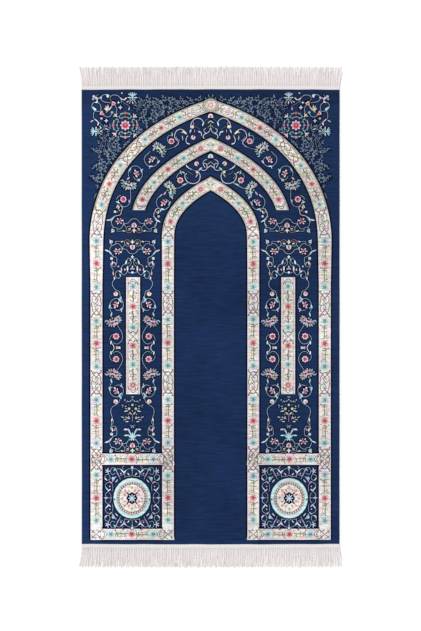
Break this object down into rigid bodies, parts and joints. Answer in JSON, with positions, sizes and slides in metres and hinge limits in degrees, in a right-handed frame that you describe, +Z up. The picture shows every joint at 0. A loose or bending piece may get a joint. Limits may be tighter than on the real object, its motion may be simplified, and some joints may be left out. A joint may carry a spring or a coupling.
{
  "type": "prayer rug",
  "caption": "Flat woven prayer rug with a floral niche of pointed arches in deep navy and cream, and a yarn fringe along a heading strip at each end.",
  "frame": {"origin": "on the underside of the cloth, under the middle of the rug", "axes": "+Z up out of the pile, +Y along the rug's length towards the end that the arch points to, +X across the rug"},
  "size_m": [0.6956, 1.3231, 0.003],
  "materials": {
    "wovenCloth": "matt cut-pile cloth, deep navy with cream floral bands",
    "fringeYarn": "soft undyed off-white yarn"
  },
  "bodies": {
    "root": {"rug_cloth": "wovenCloth", "fringe_arch_end": "fringeYarn", "fringe_foot_end": "fringeYarn"}
  },
  "joints": []
}
